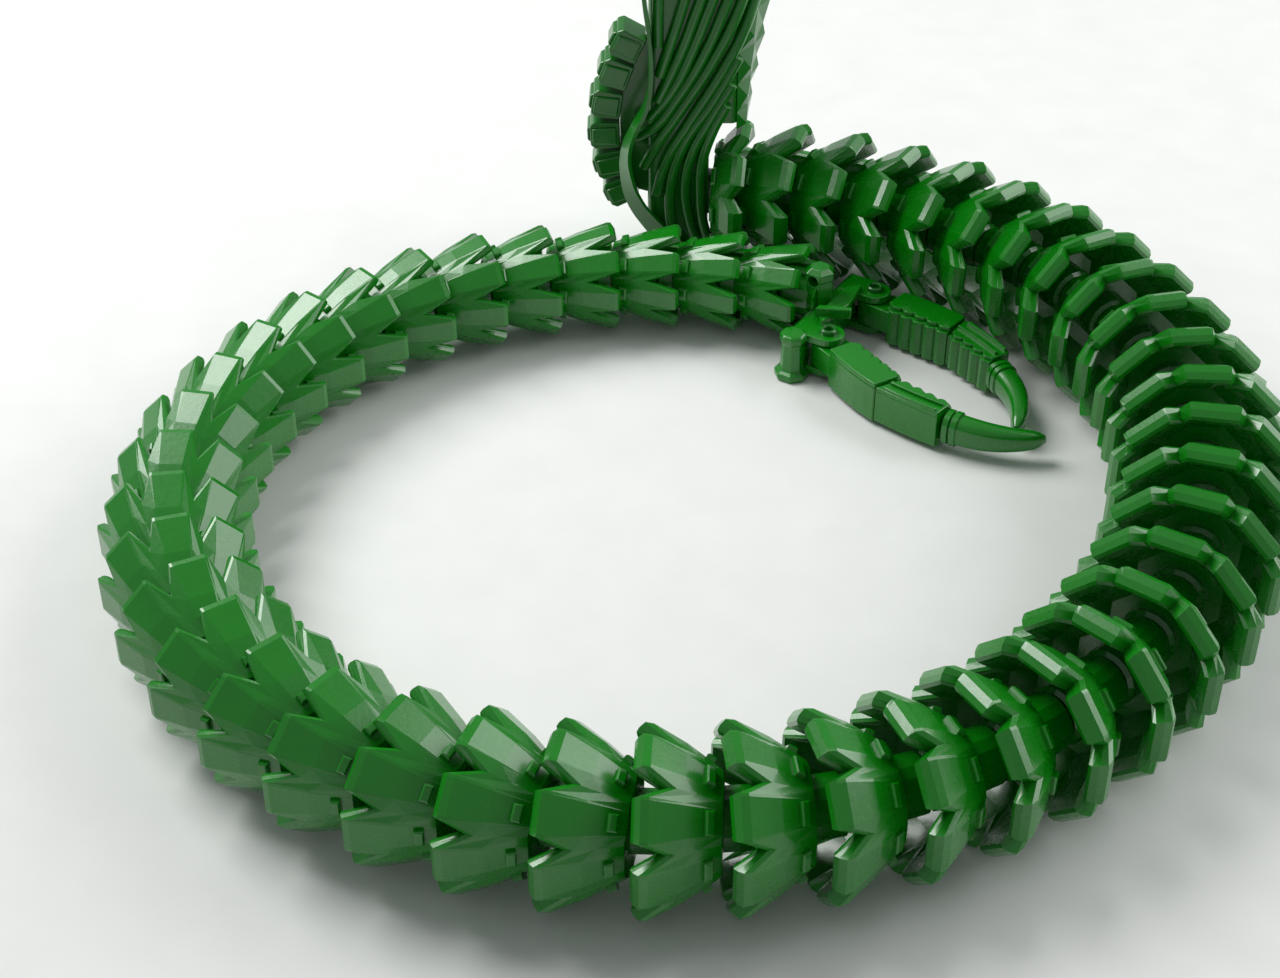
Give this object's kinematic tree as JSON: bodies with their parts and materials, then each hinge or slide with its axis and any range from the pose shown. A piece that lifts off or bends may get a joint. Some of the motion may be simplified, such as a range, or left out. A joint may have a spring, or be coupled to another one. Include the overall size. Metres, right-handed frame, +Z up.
{
  "type": "articulated twist puzzle",
  "caption": "Coiled chain of swivelling petal rings that tapers from an upright twisted-strand neck to a two-jaw claw, all in gloss plastic.",
  "frame": {"origin": "middle of the whole model in plan, on the surface the coil lies on", "axes": "+Z up; +X to the right and +Y away from the viewer in the usual front view, with the neck at the back"},
  "size_m": [0.2659, 0.2771, 0.1],
  "materials": {
    "shell_plastic": "gloss",
    "neck_plastic": "gloss",
    "pin_plastic": "gloss"
  },
  "bodies": {
    "neck": {"neck_core": "neck_plastic", "neck_cuff": "neck_plastic", "neck_strands": "neck_plastic", "neck_spine": "neck_plastic", "neck_fin": "neck_plastic", "neck_web": "neck_plastic"},
    "link_01": {"link_01": "shell_plastic"},
    "link_02": {"link_02": "shell_plastic"},
    "link_03": {"link_03": "shell_plastic"},
    "link_04": {"link_04": "shell_plastic"},
    "link_05": {"link_05": "shell_plastic"},
    "link_06": {"link_06": "shell_plastic"},
    "link_07": {"link_07": "shell_plastic"},
    "link_08": {"link_08": "shell_plastic"},
    "link_09": {"link_09": "shell_plastic"},
    "link_10": {"link_10": "shell_plastic"},
    "link_11": {"link_11": "shell_plastic"},
    "link_12": {"link_12": "shell_plastic"},
    "link_13": {"link_13": "shell_plastic"},
    "link_14": {"link_14": "shell_plastic"},
    "link_15": {"link_15": "shell_plastic"},
    "link_16": {"link_16": "shell_plastic"},
    "link_17": {"link_17": "shell_plastic"},
    "link_18": {"link_18": "shell_plastic"},
    "link_19": {"link_19": "shell_plastic"},
    "link_20": {"link_20": "shell_plastic"},
    "link_21": {"link_21": "shell_plastic"},
    "link_22": {"link_22": "shell_plastic"},
    "link_23": {"link_23": "shell_plastic"},
    "link_24": {"link_24": "shell_plastic"},
    "link_25": {"link_25": "shell_plastic"},
    "link_26": {"link_26": "shell_plastic"},
    "link_27": {"link_27": "shell_plastic"},
    "link_28": {"link_28": "shell_plastic"},
    "link_29": {"link_29": "shell_plastic"},
    "link_30": {"link_30": "shell_plastic"},
    "link_31": {"link_31": "shell_plastic"},
    "link_32": {"link_32": "shell_plastic"},
    "link_33": {"link_33": "shell_plastic"},
    "link_34": {"link_34": "shell_plastic"},
    "link_35": {"link_35": "shell_plastic"},
    "link_36": {"link_36": "shell_plastic"},
    "link_37": {"link_37": "shell_plastic"},
    "link_38": {"link_38": "shell_plastic"},
    "link_39": {"link_39": "shell_plastic"},
    "link_40": {"link_40": "shell_plastic"},
    "link_41": {"link_41": "shell_plastic"},
    "link_42": {"link_42": "shell_plastic"},
    "link_43": {"link_43": "shell_plastic"},
    "link_44": {"link_44": "shell_plastic"},
    "link_45": {"link_45": "shell_plastic"},
    "claw": {"claw_wrist": "shell_plastic", "claw_palm": "shell_plastic", "claw_pins": "pin_plastic"},
    "near_jaw": {"near_jaw_root": "shell_plastic", "near_jaw_mid": "shell_plastic", "near_jaw_fang": "shell_plastic"},
    "far_jaw": {"far_jaw_root": "shell_plastic", "far_jaw_mid": "shell_plastic", "far_jaw_fang": "shell_plastic"}
  },
  "joints": [
    {"name": "swivel_01", "type": "hinge", "parent": "neck", "child": "link_01", "pos_m": [0.00766, 0.11983, 0.0205], "axis": [0.9903, -0.1392, 0], "range_deg": [-15, 25]},
    {"name": "swivel_02", "type": "hinge", "parent": "link_01", "child": "link_02", "pos_m": [0.0229, 0.11746, 0.02058], "axis": [0.9617, -0.274, 0], "range_deg": [-15, 25]},
    {"name": "swivel_03", "type": "hinge", "parent": "link_02", "child": "link_03", "pos_m": [0.03769, 0.11299, 0.02067], "axis": [0.9153, -0.4028, 0], "range_deg": [-15, 25]},
    {"name": "swivel_04", "type": "hinge", "parent": "link_03", "child": "link_04", "pos_m": [0.05178, 0.10653, 0.02075], "axis": [0.852, -0.5235, 0], "range_deg": [-15, 25]},
    {"name": "swivel_05", "type": "hinge", "parent": "link_04", "child": "link_05", "pos_m": [0.06488, 0.0982, 0.02083], "axis": [0.7734, -0.6339, 0], "range_deg": [-15, 25]},
    {"name": "swivel_06", "type": "hinge", "parent": "link_05", "child": "link_06", "pos_m": [0.07676, 0.08815, 0.02092], "axis": [0.6812, -0.7321, 0], "range_deg": [-15, 25]},
    {"name": "swivel_07", "type": "hinge", "parent": "link_06", "child": "link_07", "pos_m": [0.08721, 0.07657, 0.021], "axis": [0.5772, -0.8166, 0], "range_deg": [-15, 25]},
    {"name": "swivel_08", "type": "hinge", "parent": "link_07", "child": "link_08", "pos_m": [0.09604, 0.06366, 0.02108], "axis": [0.4636, -0.8861, 0], "range_deg": [-15, 25]},
    {"name": "swivel_09", "type": "hinge", "parent": "link_08", "child": "link_09", "pos_m": [0.10308, 0.04967, 0.02117], "axis": [0.3424, -0.9395, 0], "range_deg": [-15, 25]},
    {"name": "swivel_10", "type": "hinge", "parent": "link_09", "child": "link_10", "pos_m": [0.10823, 0.03483, 0.02125], "axis": [0.216, -0.9764, 0], "range_deg": [-15, 25]},
    {"name": "swivel_11", "type": "hinge", "parent": "link_10", "child": "link_11", "pos_m": [0.11139, 0.01941, 0.02133], "axis": [0.0866, -0.9962, 0], "range_deg": [0, 25]},
    {"name": "swivel_12", "type": "hinge", "parent": "link_11", "child": "link_12", "pos_m": [0.11251, 0.00368, 0.02142], "axis": [-0.0435, -0.9991, 0], "range_deg": [0, 25]},
    {"name": "swivel_13", "type": "hinge", "parent": "link_12", "child": "link_13", "pos_m": [0.11158, -0.0121, 0.0215], "axis": [-0.1721, -0.9851, 0], "range_deg": [0, 25]},
    {"name": "swivel_14", "type": "hinge", "parent": "link_13", "child": "link_14", "pos_m": [0.10861, -0.02767, 0.02121], "axis": [-0.2972, -0.9548, 0], "range_deg": [0, 25]},
    {"name": "swivel_15", "type": "hinge", "parent": "link_14", "child": "link_15", "pos_m": [0.10365, -0.04276, 0.02092], "axis": [-0.4166, -0.9091, 0], "range_deg": [0, 25]},
    {"name": "swivel_16", "type": "hinge", "parent": "link_15", "child": "link_16", "pos_m": [0.0968, -0.05712, 0.02064], "axis": [-0.5285, -0.8489, 0], "range_deg": [0, 25]},
    {"name": "swivel_17", "type": "hinge", "parent": "link_16", "child": "link_17", "pos_m": [0.08815, -0.07053, 0.02035], "axis": [-0.6314, -0.7755, 0], "range_deg": [0, 25]},
    {"name": "swivel_18", "type": "hinge", "parent": "link_17", "child": "link_18", "pos_m": [0.07787, -0.08277, 0.02006], "axis": [-0.7236, -0.6903, 0], "range_deg": [0, 25]},
    {"name": "swivel_19", "type": "hinge", "parent": "link_18", "child": "link_19", "pos_m": [0.0661, -0.09364, 0.01978], "axis": [-0.8059, -0.592, 0], "range_deg": [0, 25]},
    {"name": "swivel_20", "type": "hinge", "parent": "link_19", "child": "link_20", "pos_m": [0.053, -0.10293, 0.01949], "axis": [-0.8763, -0.4818, 0], "range_deg": [0, 25]},
    {"name": "swivel_21", "type": "hinge", "parent": "link_20", "child": "link_21", "pos_m": [0.03876, -0.11044, 0.0192], "axis": [-0.9326, -0.3608, 0], "range_deg": [0, 25]},
    {"name": "swivel_22", "type": "hinge", "parent": "link_21", "child": "link_22", "pos_m": [0.02362, -0.116, 0.01902], "axis": [-0.973, -0.2309, 0], "range_deg": [0, 25]},
    {"name": "swivel_23", "type": "hinge", "parent": "link_22", "child": "link_23", "pos_m": [0.00782, -0.11945, 0.01883], "axis": [-0.9956, -0.0941, 0], "range_deg": [0, 25]},
    {"name": "swivel_24", "type": "hinge", "parent": "link_23", "child": "link_24", "pos_m": [-0.00833, -0.12068, 0.01865], "axis": [-0.9989, 0.0471, 0], "range_deg": [0, 25]},
    {"name": "swivel_25", "type": "hinge", "parent": "link_24", "child": "link_25", "pos_m": [-0.02454, -0.11961, 0.01847], "axis": [-0.9818, 0.19, 0], "range_deg": [0, 25]},
    {"name": "swivel_26", "type": "hinge", "parent": "link_25", "child": "link_26", "pos_m": [-0.04046, -0.11621, 0.01828], "axis": [-0.9435, 0.3313, 0], "range_deg": [0, 25]},
    {"name": "swivel_27", "type": "hinge", "parent": "link_26", "child": "link_27", "pos_m": [-0.05574, -0.1105, 0.0181], "axis": [-0.8838, 0.4679, 0], "range_deg": [0, 25]},
    {"name": "swivel_28", "type": "hinge", "parent": "link_27", "child": "link_28", "pos_m": [-0.07003, -0.10256, 0.01792], "axis": [-0.8028, 0.5962, 0], "range_deg": [0, 25]},
    {"name": "swivel_29", "type": "hinge", "parent": "link_28", "child": "link_29", "pos_m": [-0.08298, -0.09252, 0.01773], "axis": [-0.7015, 0.7126, 0], "range_deg": [0, 25]},
    {"name": "swivel_30", "type": "hinge", "parent": "link_29", "child": "link_30", "pos_m": [-0.09425, -0.08057, 0.01755], "axis": [-0.5814, 0.8136, 0], "range_deg": [0, 25]},
    {"name": "swivel_31", "type": "hinge", "parent": "link_30", "child": "link_31", "pos_m": [-0.10353, -0.06698, 0.01737], "axis": [-0.4446, 0.8957, 0], "range_deg": [0, 25]},
    {"name": "swivel_32", "type": "hinge", "parent": "link_31", "child": "link_32", "pos_m": [-0.11053, -0.05205, 0.01718], "axis": [-0.294, 0.9558, 0], "range_deg": [0, 25]},
    {"name": "swivel_33", "type": "hinge", "parent": "link_32", "child": "link_33", "pos_m": [-0.11504, -0.03614, 0.017], "axis": [-0.1331, 0.9911, 0], "range_deg": [0, 25]},
    {"name": "swivel_34", "type": "hinge", "parent": "link_33", "child": "link_34", "pos_m": [-0.11686, -0.01967, 0.01673], "axis": [0.034, 0.9994, 0], "range_deg": [0, 25]},
    {"name": "swivel_35", "type": "hinge", "parent": "link_34", "child": "link_35", "pos_m": [-0.11592, -0.00309, 0.01645], "axis": [0.1986, 0.9801, 0], "range_deg": [0, 25]},
    {"name": "swivel_36", "type": "hinge", "parent": "link_35", "child": "link_36", "pos_m": [-0.11224, 0.01313, 0.01617], "axis": [0.3563, 0.9344, 0], "range_deg": [0, 25]},
    {"name": "swivel_37", "type": "hinge", "parent": "link_36", "child": "link_37", "pos_m": [-0.10594, 0.02857, 0.0159], "axis": [0.503, 0.8643, 0], "range_deg": [0, 25]},
    {"name": "swivel_38", "type": "hinge", "parent": "link_37", "child": "link_38", "pos_m": [-0.09721, 0.04282, 0.01562], "axis": [0.6351, 0.7724, 0], "range_deg": [0, 25]},
    {"name": "swivel_39", "type": "hinge", "parent": "link_38", "child": "link_39", "pos_m": [-0.08629, 0.05551, 0.01535], "axis": [0.7497, 0.6618, 0], "range_deg": [0, 25]},
    {"name": "swivel_40", "type": "hinge", "parent": "link_39", "child": "link_40", "pos_m": [-0.07346, 0.06632, 0.01507], "axis": [0.8444, 0.5357, 0], "range_deg": [0, 25]},
    {"name": "swivel_41", "type": "hinge", "parent": "link_40", "child": "link_41", "pos_m": [-0.05907, 0.07501, 0.0148], "axis": [0.9175, 0.3977, 0], "range_deg": [0, 25]},
    {"name": "swivel_42", "type": "hinge", "parent": "link_41", "child": "link_42", "pos_m": [-0.04347, 0.08136, 0.01434], "axis": [0.9678, 0.2516, 0], "range_deg": [0, 25]},
    {"name": "swivel_43", "type": "hinge", "parent": "link_42", "child": "link_43", "pos_m": [-0.02704, 0.08525, 0.01388], "axis": [0.9949, 0.1011, 0], "range_deg": [0, 25]},
    {"name": "swivel_44", "type": "hinge", "parent": "link_43", "child": "link_44", "pos_m": [-0.01017, 0.08659, 0.01342], "axis": [0.9987, -0.0501, 0], "range_deg": [-9, 25]},
    {"name": "swivel_45", "type": "hinge", "parent": "link_44", "child": "link_45", "pos_m": [0.00674, 0.08537, 0.01296], "axis": [0.9801, -0.1986, 0], "range_deg": [-15, 25]},
    {"name": "wrist_swivel", "type": "hinge", "parent": "link_45", "child": "claw", "pos_m": [0.02331, 0.08163, 0.0125], "axis": [0.94, -0.3412, 0], "range_deg": [-15, 20]},
    {"name": "near_jaw_hinge", "type": "hinge", "parent": "claw", "child": "near_jaw", "pos_m": [0.03366, 0.05991, 0.007], "axis": [0, 0, 1], "range_deg": [-35, 2]},
    {"name": "far_jaw_hinge", "type": "hinge", "parent": "claw", "child": "far_jaw", "pos_m": [0.04736, 0.08105, 0.007], "axis": [0, 0, 1], "range_deg": [-2.5, 3]}
  ]
}
